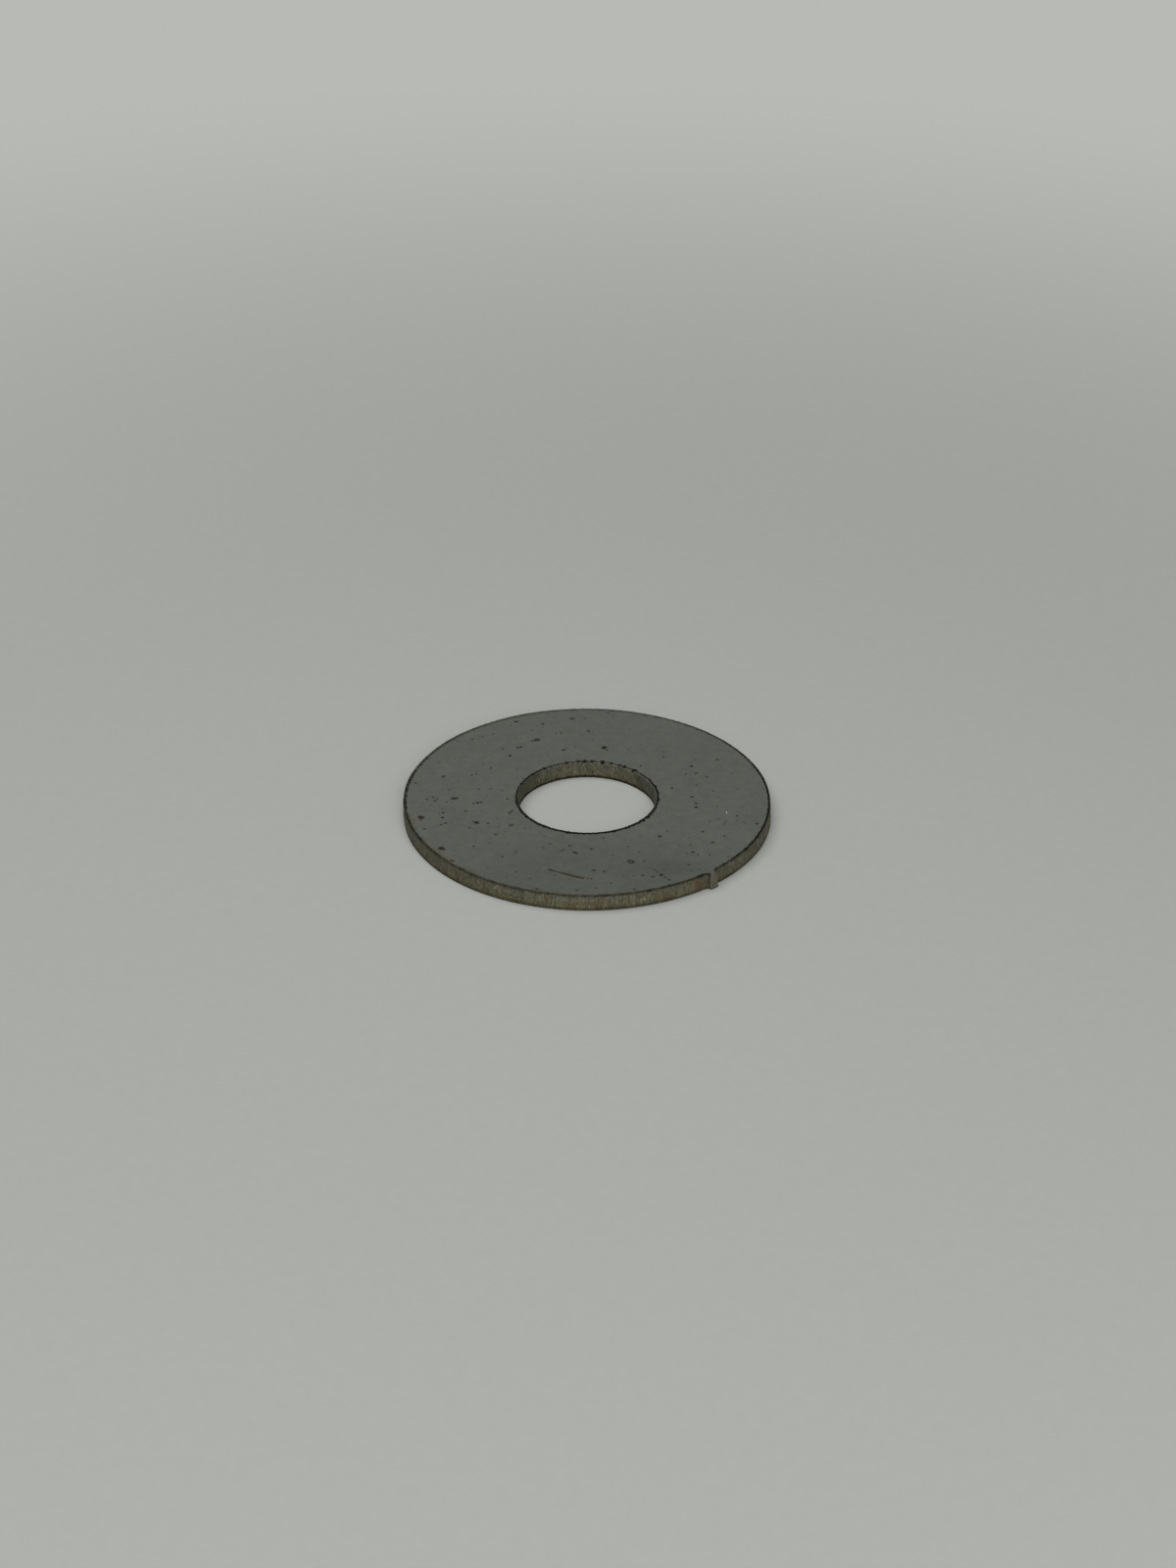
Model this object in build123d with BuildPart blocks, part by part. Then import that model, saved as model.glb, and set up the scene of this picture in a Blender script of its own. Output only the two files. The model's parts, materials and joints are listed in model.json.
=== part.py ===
from build123d import *
import os
from math import cos, radians, sin

# A fender washer: a flat ring with a wide flange round a small bolt hole, cut in one piece
# from steel sheet. The hot cut melts its upper edges round and leaves its lower edges with
# a small break. One nib stands out of the rim where the blank was joined to its sheet.
# The nib is widest at its foot, because the kerf on each side of it narrows on its way
# down, and each kerf ended in a small relief that dips into the rim.
# Origin: the centre of the underside. +Z: the bore's axis, out of the upper face.
# All sizes are in millimetres, and bearings are in degrees from +X towards +Y.

# Ring
outer_diameter = 31.75
bore_diameter = 11.91
thickness = 1.52
top_edge_round = 0.12
bottom_edge_break = 0.04

# Nib on the rim
nib_bearing = -49.2
nib_top_width = 0.54
nib_foot_width = 0.86
nib_top_reach = 0.28
nib_foot_reach = 0.34
nib_corner_round = 0.13
nib_top_round = 0.10
nib_root_depth = 0.40

# Relief at each side of the nib
relief_top_radius = 0.10
relief_foot_radius = 0.08
relief_bite = 0.03
relief_overrun = 0.10

outer_radius = outer_diameter / 2
bore_radius = bore_diameter / 2


def rim_plane(height):
    """The level plane at that height, centred on the rim at the nib, with local X pointing outwards."""
    bearing = radians(nib_bearing)
    outwards = (cos(bearing), sin(bearing), 0)
    foot = (outer_radius * outwards[0], outer_radius * outwards[1], height)
    return Plane(origin=foot, x_dir=outwards, z_dir=(0, 0, 1))


def at_height(height, foot_value, top_value):
    """A size that runs straight from its value at the underside to its value at the upper face."""
    return foot_value + (top_value - foot_value) * height / thickness


def nib_outline(height):
    """The nib's plan at that height: from inside the ring to its snapped end, with rounded outer corners."""
    width = at_height(height, nib_foot_width, nib_top_width)
    reach = at_height(height, nib_foot_reach, nib_top_reach)
    with BuildSketch(rim_plane(height)) as outline:
        with Locations((-nib_root_depth, 0)):
            Rectangle(nib_root_depth + reach, width, align=(Align.MIN, Align.CENTER))
        fillet(outline.vertices().group_by(Axis.X)[-1], nib_corner_round)
    return outline.sketch


def relief_outline(height, side):
    """The relief's plan at that height: a circle centred on the rim that bites into the nib's side."""
    radius = at_height(height, relief_foot_radius, relief_top_radius)
    offset = at_height(height, nib_foot_width, nib_top_width) / 2 + radius - relief_bite
    with BuildSketch(rim_plane(height)) as outline:
        with Locations((0, side * offset)):
            Circle(radius)
    return outline.sketch


with BuildPart() as washer:
    # The nib, wider and longer at its foot than at its top, with its upper edges melted round.
    loft([nib_outline(0), nib_outline(thickness)])
    fillet(washer.edges().group_by(Axis.Z)[-1], nib_top_round)

    # The ring: its half section, with both edge treatments, turned about the bore's axis.
    with BuildSketch(Plane.XZ) as section:
        with Locations((bore_radius, 0)):
            Rectangle(outer_radius - bore_radius, thickness, align=Align.MIN)
        upper_corners = section.vertices().group_by(Axis.Y)[-1]
        fillet(upper_corners, top_edge_round)
        lower_corners = section.vertices().group_by(Axis.Y)[0]
        chamfer(lower_corners, bottom_edge_break)
    revolve(axis=Axis.Z)

    # The reliefs, cut right through on both sides of the nib.
    for side in (-1, 1):
        lowest, highest = -relief_overrun, thickness + relief_overrun
        loft([relief_outline(lowest, side), relief_outline(highest, side)], mode=Mode.SUBTRACT)

washer.part.label = "washer"
os.makedirs("parts", exist_ok=True)
export_step(washer.part, "parts/washer.step")
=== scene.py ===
"""A fender washer that was cut hot from steel sheet, on a plain pale floor.

The ring, its edges, its cut walls and its nib are one closed surface worked out with numpy round the
packed washer's own sizes. Spatter, stains and one stray sliver lie on it as small closed surfaces.
"""

import json
import math

import bpy
import numpy as np
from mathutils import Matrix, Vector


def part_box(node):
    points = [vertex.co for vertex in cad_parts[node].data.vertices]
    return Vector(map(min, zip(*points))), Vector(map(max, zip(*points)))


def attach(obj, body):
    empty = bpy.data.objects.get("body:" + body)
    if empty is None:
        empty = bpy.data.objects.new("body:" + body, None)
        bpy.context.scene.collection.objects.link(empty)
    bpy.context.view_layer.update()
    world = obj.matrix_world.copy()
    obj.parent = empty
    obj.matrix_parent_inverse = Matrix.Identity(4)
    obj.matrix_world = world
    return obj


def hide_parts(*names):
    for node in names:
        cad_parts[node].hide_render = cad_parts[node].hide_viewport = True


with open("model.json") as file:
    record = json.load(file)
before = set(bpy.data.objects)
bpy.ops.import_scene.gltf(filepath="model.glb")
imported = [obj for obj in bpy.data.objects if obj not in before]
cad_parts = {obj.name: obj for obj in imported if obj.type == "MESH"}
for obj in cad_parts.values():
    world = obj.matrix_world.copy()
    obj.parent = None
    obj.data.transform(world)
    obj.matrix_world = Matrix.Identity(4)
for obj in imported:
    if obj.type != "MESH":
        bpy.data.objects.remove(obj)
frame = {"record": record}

bl_info = {
    "name": "Fender washer",
    "version": (1, 0, 0),
    "blender": (4, 5, 0),
    "location": "View3D > Sidebar > Washer",
    "description": "Builds a hot-cut steel fender washer with its cut edges, spatter and stains",
    "category": "Add Mesh",
}

MM = 0.001
BODY = "root"
NODE = "washer"


def packed_sizes():
    """Outer radius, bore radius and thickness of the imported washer, in metres."""
    low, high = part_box(NODE)
    bore = next(mount for mount in frame["record"]["mounts"] if mount["name"] == "bore")
    return (high.x - low.x) / 2, bore["dims"]["r_mm"] * MM, high.z - low.z


OUTER_RADIUS, BORE_RADIUS, THICKNESS = packed_sizes()


# Settings


def size(name, description, default):
    """A setting that is a length, in metres."""
    return bpy.props.FloatProperty(name=name, description=description, default=default, unit="LENGTH")


def paint(name, description, default):
    """A setting that is a colour, as linear red, green and blue."""
    return bpy.props.FloatVectorProperty(
        name=name, description=description, default=default, subtype="COLOR", min=0.0, max=1.0, size=3
    )


class RingSettings(bpy.types.PropertyGroup):
    """Sizes of the ring and its edges."""

    outer_radius: size("Outer radius", "Radius of the rim", OUTER_RADIUS)
    bore_radius: size("Bore radius", "Radius of the hole", BORE_RADIUS)
    thickness: size("Thickness", "Thickness of the sheet", THICKNESS)
    lip_round: size("Lip round", "Radius of the melted upper edges", 0.12 * MM)
    foot_break: size("Foot break", "Width of the break at the lower edges", 0.04 * MM)
    steps: bpy.props.IntProperty(
        name="Steps", description="Columns of faces round the rim, a multiple of four",
        default=2880, min=64,
    )


class NibSettings(bpy.types.PropertyGroup):
    """The snapped joint stub on the rim, with left and right as seen from outside."""

    bearing: bpy.props.FloatProperty(
        name="Bearing", description="Where the nib stands on the rim, from +X towards +Y",
        default=math.radians(-49.1), subtype="ANGLE", unit="ROTATION",
    )
    top_left: size("Top left", "Half width of the nib on its left at the upper face", 0.37 * MM)
    top_right: size("Top right", "Half width of the nib on its right at the upper face", 0.15 * MM)
    foot_left: size("Foot left", "Half width of the nib on its left at the underside", 0.45 * MM)
    foot_right: size("Foot right", "Half width of the nib on its right at the underside", 0.77 * MM)
    top_reach: size("Top reach", "How far the nib stands out at the upper face", 0.31 * MM)
    foot_reach: size("Foot reach", "How far the nib stands out at the underside", 0.43 * MM)
    top_round: size(
        "Top round", "Radius of the nib's upper edge, where the face bends down over its end", 0.28 * MM
    )
    slant: size("Slant", "Width of the nib's slanted right flank at the underside", 0.38 * MM)
    relief_radius: size(
        "Relief radius", "Radius of the relief on the nib's left, twice that of the right one", 0.075 * MM
    )
    swell_left: size(
        "Swell left", "How far the top of the wall swells out beside the nib on its left", 0.36 * MM
    )
    swell_right: size(
        "Swell right", "How far the top of the wall swells out beside the nib on its right", 0.27 * MM
    )


class CutSettings(bpy.types.PropertyGroup):
    """The relief that the cut left on the walls and lips."""

    drag_depth: size("Drag depth", "Typical depth of the drag lines on the walls", 0.012 * MM)
    drag_spacing: size("Drag spacing", "Typical distance between two drag lines", 0.17 * MM)
    drag_lag: size("Drag lag", "How far a drag line trails behind at the foot of the wall", 0.16 * MM)
    kerf_lean: size(
        "Kerf lean", "How far the walls lean out into the cut between their top and their foot", 0.065 * MM
    )
    lead_step: size(
        "Lead step", "How far the start and the end of the cut miss each other at the nib", 0.02 * MM
    )
    dross_count: bpy.props.IntProperty(
        name="Dross count", description="Number of small melted bumps scattered round the lip of the bore",
        default=70, min=0,
    )
    dross_height: size("Dross height", "Height of the large melted bumps", 0.075 * MM)


class MarkSettings(bpy.types.PropertyGroup):
    """Spatter beads and stains on the faces."""

    count: bpy.props.IntProperty(
        name="Count", description="Number of scattered specks on the upper face", default=400, min=0
    )
    under_count: bpy.props.IntProperty(
        name="Underside count", description="Number of scattered specks on the underside",
        default=160, min=0,
    )
    smallest: size("Smallest", "Radius of the smallest specks", 0.045 * MM)
    largest: size("Largest", "Radius of the largest scattered specks", 0.17 * MM)
    seed: bpy.props.IntProperty(name="Seed", description="Seed of the scatter", default=11)


class FinishSettings(bpy.types.PropertyGroup):
    """Colours of the steel and of what the cut left on it."""

    face: paint("Face", "The rolled faces", (0.1032, 0.1078, 0.0935))
    wall_upper: paint("Wall top", "The upper part of the cut walls", (0.154, 0.150, 0.107))
    wall_lower: paint("Wall foot", "The lower part of the cut walls", (0.148, 0.140, 0.078))
    ridge: paint("Ridges", "The ridges between the drag lines", (0.302, 0.290, 0.207))
    groove: paint("Grooves", "The drag lines", (0.075, 0.070, 0.044))
    # Painted highlight: the pale bluish tone of the smooth patch at the top of the bore's wall on the right.
    glaze_and_highlight: paint("Glaze", "The clean smooth patch in the bore", (0.112, 0.122, 0.120))
    rust: paint("Rust", "The rusty patches on the walls", (0.166, 0.112, 0.062))
    snapped: paint("Snapped steel", "The light parts of the nib's end", (0.185, 0.172, 0.130))
    snapped_dark: paint("Dull snapped steel", "The dull parts of the nib's end", (0.115, 0.108, 0.082))
    oxide: paint("Oxide", "The burnt lips and black spatter", (0.011, 0.011, 0.009))
    stain: paint("Stain", "The brown stains", (0.042, 0.037, 0.014))
    bead: paint("Bead", "The middle of a pale spatter mark", (0.200, 0.175, 0.120))
    tint: paint("Heat tint", "The straw tint beside the rim", (0.085, 0.075, 0.042))


class StageSettings(bpy.types.PropertyGroup):
    """Floor, light and camera."""

    floor: paint("Floor", "The floor and the backdrop", (0.478, 0.490, 0.466))
    sky_strength: bpy.props.FloatProperty(
        name="Sky strength", description="Strength of the even light from all round",
        default=0.12, min=0.0,
    )
    lamp_power: bpy.props.FloatProperty(
        name="Lamp power", description="Power of the large soft lamp above",
        default=1.0, min=0.0, unit="POWER",
    )
    fill_power: bpy.props.FloatProperty(
        name="Fill power", description="Power of the weak lamp in front",
        default=0.8, min=0.0, unit="POWER",
    )
    camera_distance: size("Camera distance", "From the washer's origin to the camera", 0.2540)
    camera_elevation: bpy.props.FloatProperty(
        name="Camera elevation", description="Angle of the camera above the floor, from the origin",
        default=math.radians(30.79), subtype="ANGLE", unit="ROTATION",
    )
    camera_lens: bpy.props.FloatProperty(
        name="Camera lens", description="Focal length for a sensor 36 mm on its long side",
        default=67.2, min=1.0, unit="CAMERA",
    )


SETTINGS = {
    "washer_ring": RingSettings,
    "washer_nib": NibSettings,
    "washer_cut": CutSettings,
    "washer_marks": MarkSettings,
    "washer_finish": FinishSettings,
    "washer_stage": StageSettings,
}


# Numbers


def smooth(value, low, high):
    """0 at low, 1 at high, a smooth step between them and level beyond them."""
    share = np.clip((value - low) / (high - low), 0.0, 1.0)
    return share * share * (3.0 - 2.0 * share)


def bell(away, width):
    """1 in the middle, falling to 0 on both sides: exp(-(distance / width) squared)."""
    return np.exp(-np.square(away / width))


def ripple(angle, low, high, seed, parts=48):
    """A wave that closes on itself round the ring, with a deviation of one.

    It is a sum of cosines of whole-number frequencies between low and high, each with a random
    weight and phase.
    """
    random = np.random.default_rng(seed)
    waves = random.integers(low, high + 1, parts)
    phases = random.uniform(0.0, 2.0 * np.pi, parts)
    weights = random.uniform(0.4, 1.0, parts)
    flat = np.ravel(angle)
    total = weights @ np.cos(np.outer(waves, flat) + phases[:, None])
    return (total / np.sqrt(np.square(weights).sum() / 2.0)).reshape(np.shape(angle))


def bumps(angle, centres, widths, heights):
    """A sum of bell curves round the ring: height times exp(-(distance / width) squared / 2)."""
    total = np.zeros_like(angle)
    for centre, width, height in zip(centres, widths, heights):
        away = np.angle(np.exp(1j * (angle - centre)))
        total += height * np.exp(-0.5 * np.square(away / width))
    return total


def bumps_at(angle, rows):
    """Bumps round the ring from rows of bearing and width, in degrees, and height."""
    bearings, widths, heights = np.transpose(rows)
    return bumps(angle, np.radians(bearings), np.radians(widths), heights)


def once_round(angle, mean, back, right):
    """A value that changes once round the ring: mean + back * sin(angle) + right * cos(angle)."""
    return mean + back * np.sin(angle) + right * np.cos(angle)


def columns(steps, bearing, radius):
    """Angles of the columns round the ring, four times as close on the nib as elsewhere.

    The closeness is one plus a smooth hump at the nib, and the angles split its running total evenly.
    """
    closer = 3.0
    close_to = 0.9 * MM
    even_from = 1.6 * MM
    dense = np.linspace(-np.pi, np.pi, 40001)
    away = np.abs(dense) * radius
    closeness = 1.0 + closer * (1.0 - smooth(away, close_to, even_from))
    total = np.concatenate([[0.0], np.cumsum((closeness[1:] + closeness[:-1]) / 2.0)])
    total /= total[-1]
    return bearing + np.interp(np.arange(steps) / steps, total, dense)


# The ring


# Melted bumps that stand out on the bore's lip: bearing in degrees, width in millimetres, share of height.
NOTED_DROSS = (
    (150.0, 0.06, 0.30),
    (122.0, 0.07, 0.35),
    (107.0, 0.09, 0.60),
    (97.0, 0.12, 0.60),
    (92.0, 0.14, 0.70),
    (86.0, 0.12, 0.60),
    (77.0, 0.11, 1.20),
    (69.5, 0.08, 0.70),
    (62.0, 0.08, 0.60),
    (57.5, 0.10, 0.80),
    (47.5, 0.10, 1.00),
    (17.0, 0.07, 0.40),
    (-33.0, 0.08, 0.35),
    (-40.0, 0.10, 0.50),
    (-105.0, 0.10, 0.45),
    (-126.0, 0.08, 0.40),
)
# Places round the ring, as bearing and width in degrees, and amount. The first two say how far the foot of
# the wall stands out, in millimetres, the next two where the burnt strip is narrow, and the rest how much
# blacker or rustier it is there, or how strong the smooth patch with a painted highlight is.
RIM_FOOT = ((-167.0, 13.0, -0.08), (-18.0, 26.0, 0.04))
BORE_FOOT = ((14.0, 15.0, -0.05), (132.0, 30.0, 0.05))
RIM_NARROW = ((-155.0, 24.0, 1.0),)
BORE_NARROW = ((170.0, 26.0, 1.0),)
RIM_BLACKER = ((0.0, 12.0, 0.06), (-41.0, 6.0, -0.12), (-125.0, 16.0, -0.06))
BORE_BLACKER = ((20.0, 24.0, 0.22), (142.0, 10.0, 0.20))
RIM_RUST = ((-54.1, 1.5, 0.8), (-67.0, 1.6, 0.6), (-87.0, 1.2, 0.6))
BORE_GLAZE_AND_HIGHLIGHT = ((17.0, 13.0, 0.8),)
# How far in from an edge the faces follow the shape of its wall.
HELD_WIDTH = 0.45 * MM
# Thickness of the nib's steep flanks, and how far they stand out past the nib's half widths.
FLANK_WIDTH = 0.065 * MM
FLANK_PROUD = 0.015 * MM
# The upright crease in the nib's end, and how wide the swells beside the nib are on its left and right.
CREASE_DEPTH = 0.035 * MM
CREASE_WIDTH = 0.024 * MM
SWELL_LEFT_WIDTH = 0.18 * MM
SWELL_RIGHT_WIDTH = 0.20 * MM
# How slowly the step beside the nib dies away, and how far the rim's cut wanders.
STEP_FADE = 3.0 * MM
WANDER = 0.010 * MM
# The small scattered bumps on the bore's lip: their widths in millimetres and their largest share of height.
# Then the share that bumps which run together don't pass, and how high bumps may lift the lip.
DROSS_NARROWEST = 0.03
DROSS_WIDEST = 0.08
DROSS_SHARE = 0.32
DROSS_LIMIT = 1.25
DROSS_LIFT = 0.035 * MM
# The level rows of both faces: two in from the rim, the finer one first, and one out from the bore.
RIM_ROW = 1.3 * MM
OUTER_ROW = 3.0 * MM
INNER_ROW = 1.5 * MM


def nib_halves(height, nib, thickness):
    """Half widths of the nib on its left and on its right at a height above the underside."""
    share = np.clip(height / thickness, 0.0, 1.0)
    left = nib.foot_left + (nib.top_left - nib.foot_left) * share
    right = nib.foot_right + (nib.top_right - nib.foot_right) * share
    return left, right


def nib_plateau(across, height, nib, thickness, slant=0.0):
    """1 on the nib, 0 beside it, and a smooth flank between them.

    The flank is steep on the left. On the right the slant widens it evenly from top to foot.
    """
    left, right = nib_halves(height, nib, thickness)
    beyond = np.abs(across) - np.where(across < 0.0, left, right)
    down = 1.0 - np.clip(height / thickness, 0.0, 1.0)
    flank = FLANK_WIDTH + np.where(across < 0.0, 0.0, slant) * down
    return 1.0 - smooth(beyond, FLANK_PROUD - flank, FLANK_PROUD)


def from_crease(across, share):
    """Distance across the nib from its crease, which leans to the left towards the foot."""
    return across + (0.22 * (1.0 - share) - 0.03) * MM


def nib_profile(across, height, nib, thickness):
    """How far the rim stands out at the nib, for a distance across it and a height above the underside.

    The nib is a plateau whose widths and reach change evenly from foot to top. Its end is slightly
    crowned and has one upright crease, a narrow bell curve. The wall beside it swells out towards it on
    half a bell curve, and a half circle whose radius shrinks towards the foot is taken off at each root.
    """
    share = np.clip(height / thickness, 0.0, 1.0)
    left, right = nib_halves(height, nib, thickness)
    half = np.where(across < 0.0, left, right)
    beside = np.abs(across) - half
    reach = nib.foot_reach + (nib.top_reach - nib.foot_reach) * share
    plateau = nib_plateau(across, height, nib, thickness, nib.slant)
    crown = 1.0 - 0.15 * np.square(across / half)
    crease = CREASE_DEPTH * bell(from_crease(across, share), CREASE_WIDTH) * smooth(share, 0.98, 0.84)
    radius = nib.relief_radius * (0.75 + 0.25 * share) * np.where(across < 0.0, 1.0, 0.5)
    into = np.square(radius) - np.square(beside - radius)
    relief = np.sqrt(np.clip(into, 0.0, None)) * (plateau < 0.5)
    swell_left = nib.swell_left * (0.4 + 0.6 * share) * bell(beside, SWELL_LEFT_WIDTH)
    swell_right = nib.swell_right * np.square(share) * bell(beside, SWELL_RIGHT_WIDTH)
    swell = np.where(across < 0.0, swell_left, swell_right)
    return (reach * crown - crease) * plateau + swell * (1.0 - plateau) - relief


def nib_painted_shade(across, height, nib, thickness):
    """How much painted shade the nib's hollows get: its left root, its upright crease and its right root.

    Each is a bell curve across the nib, times a smooth step along its height. The right root is shaded at
    its top and, a little further out, at its foot, where the painted shade stands for the shadow under the
    wall.
    """
    share = height / thickness
    left, right = nib_halves(height, nib, thickness)
    root = bell(across + left + 0.06 * MM, 0.055 * MM) * smooth(share, 0.12, 0.40)
    crease = bell(from_crease(across, share), 0.035 * MM) * smooth(share, 0.92, 0.60)
    spot = bell(across - right - 0.02 * MM, 0.060 * MM) * smooth(share, 0.74, 0.90)
    wedge = bell(across - right - 0.22 * MM, 0.18 * MM) * smooth(share, 0.24, 0.08)
    return np.maximum.reduce([0.75 * root, 0.40 * crease, 0.8 * spot, 0.8 * wedge])


def drag_relief(angle, height, radius, thickness, cut, seed):
    """The drag lines of a cut wall as a wave with a deviation of about one, positive outwards.

    Fine lines fill the upper part and coarse ones the lower part. Both trail behind with the square
    of the depth below the upper face, and a slow wave makes them stronger in some places.
    """
    turns = 2.0 * np.pi * radius / cut.drag_spacing
    down = 1.0 - np.clip(height / thickness, 0.0, 1.0)
    trailing = angle + cut.drag_lag / radius * np.square(down)
    fine = ripple(trailing, int(0.9 * turns), int(1.6 * turns), seed)
    coarse = ripple(trailing, int(0.3 * turns), int(0.8 * turns), seed + 1)
    slow = ripple(angle, 3, 40, seed + 2, parts=24)
    return (0.8 + 0.25 * slow) * (fine * (0.7 - 0.4 * down) + coarse * (0.35 + 0.5 * down))


def section_rows(lip, ring):
    """Insets, drops and edge distances of the section's rows, from the face down to the underside.

    The rows run in along the face, round the lip on a quarter circle, straight down the wall, over the
    break at the foot and a little way in under it. The edge distance is measured along the section from
    where the lip starts to bend, in millimetres, positive on the face and negative below.
    """
    bottom = ring.thickness
    none = np.zeros_like(lip)
    inset = [none + 0.85 * MM, none + HELD_WIDTH, lip + 0.06 * MM]
    drop = [none, none, none]
    edge = [(row - lip) / MM for row in inset]
    for turn in np.linspace(0.0, np.pi / 2.0, 6):
        inset.append(lip * (1.0 - np.sin(turn)))
        drop.append(lip * (1.0 - np.cos(turn)))
        edge.append(-turn * lip / MM)
    for share in np.linspace(0.0, 1.0, 10)[1:]:
        inset.append(none)
        drop.append(lip + share * (bottom - ring.foot_break - lip))
        edge.append(edge[8] - (drop[-1] - lip) / MM)
    inset += [none + 0.5 * ring.foot_break, none + 1.4 * ring.foot_break, none + 0.30 * MM]
    drop += [none + bottom - 0.35 * ring.foot_break, none + bottom, none + bottom]
    edge += [edge[-1] - 0.03, edge[-1] - 0.08, edge[-1] - 0.35]
    return np.array(inset), np.array(drop), np.array(edge)


def hold_share(inset):
    """How much of the wall's own shape a row takes on: all of it at the wall, less and less inwards."""
    return np.clip(1.0 - inset / HELD_WIDTH, 0.0, 1.0)


def burnt_marks(edge, burnt_to, burnt_from, char, foot_from, foot_dross_and_shadow):
    """What a belt's points know of the burning, and of the painted shadow at the foot, from their edge
    distances.

    Burn and shade is how far a point lies inside one of the two dark strips, in millimetres and negative
    outside them: the lip's burnt strip, between two edge distances, and the foot's, whose upper edge is
    twice as soft and which is partly dross and partly painted contact shadow. Char is how black the strip
    is.
    """
    lip = np.minimum(burnt_to - edge, edge - burnt_from)
    foot = np.minimum(0.45 * (foot_from - edge), edge + 1.75)
    black = np.where(edge > -0.9, char, foot_dross_and_shadow)
    return {"edge": edge, "burn_and_shade": np.maximum(lip, foot), "char": np.clip(black, 0.0, 1.0)}


def rim_belt(theta, ring, nib, cut):
    """Rows of points from the upper face, over the rim and to the underside, with what each one is.

    The wall's radius is the rim's, plus the drag lines, the lean and the slow error of the cut, the step
    where its start and end miss each other, and the nib. The burnt strip is wide at the back and narrow at
    the front, and its two edges and its blackness are each a mean, a wave once round and a few places.
    """
    radius = ring.outer_radius
    across = np.angle(np.exp(1j * (theta - nib.bearing))) * radius
    on_nib = nib_plateau(across, ring.thickness, nib, ring.thickness)
    lip = ring.lip_round * (1.0 + 0.16 * ripple(theta, 40, 300, seed=21))
    lip = lip + (nib.top_round - lip) * on_nib
    inset, drop, edge = section_rows(lip, ring)
    height = ring.thickness - drop
    angles = np.broadcast_to(theta, inset.shape)
    across = np.broadcast_to(across, inset.shape)
    drag = drag_relief(angles, height, radius, ring.thickness, cut, seed=31)
    snap = nib_plateau(across, height, nib, ring.thickness)
    step = cut.lead_step * np.sign(-across) * np.exp(-np.abs(across) / STEP_FADE)
    step = step * smooth(np.abs(across), 0.10 * MM, 0.40 * MM)
    wander = WANDER * ripple(theta, 2, 14, seed=41, parts=12)
    foot = bumps_at(theta, RIM_FOOT) * MM
    lean = cut.kerf_lean * (0.8 - height / ring.thickness) + foot * (1.0 - height / ring.thickness)
    proud = cut.drag_depth * drag * (1.0 - snap) + step + wander + lean
    proud = proud + nib_profile(across, height, nib, ring.thickness)
    reach = radius - inset + proud * hold_share(inset)
    points = np.stack([reach * np.cos(angles), reach * np.sin(angles), height], axis=-1)
    narrow = bumps_at(theta, RIM_NARROW)
    burnt_to = once_round(theta, 0.17, 0.19, -0.06) - 0.04 * narrow
    burnt_from = once_round(theta, -0.16, 0.13, 0.0) + 0.08 * narrow
    char = once_round(theta, 0.72, -0.06, 0.08) + 0.165 * np.cos(2.0 * theta) + 0.06 * narrow
    char = char + bumps_at(theta, RIM_BLACKER) + 0.06 * ripple(theta, 15, 120, seed=42)
    near = inset < 0.4 * MM
    # The foot's dark strip is partly dross and partly painted contact shadow.
    marks = burnt_marks(edge, burnt_to, burnt_from, char, foot_from=-1.27, foot_dross_and_shadow=0.50)
    marks |= {"drag": drag, "snap": snap * near, "glaze_and_highlight": np.zeros_like(edge)}
    # Painted shade: the rim's wall is darker towards the washer's left and right, more so on the left, and
    # darker too in a band just under the lip.
    cosine = np.cos(theta)
    side = 1.0 - 0.35 * np.square(cosine) + 0.045 * cosine
    marks["painted_shade_and_lip_band"] = side * (1.0 - 0.36 * smooth(edge, -0.48, -0.14))
    marks["rust"] = bumps_at(theta, RIM_RUST) * bell(edge + 0.90, 0.42)
    # Painted shade in the nib's hollows and in the shadow beside its foot, on the wall below where the lip
    # starts.
    marks["painted_nib_shade"] = nib_painted_shade(across, height, nib, ring.thickness) * near * smooth(edge, 0.02, -0.06)
    return points, marks


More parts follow.
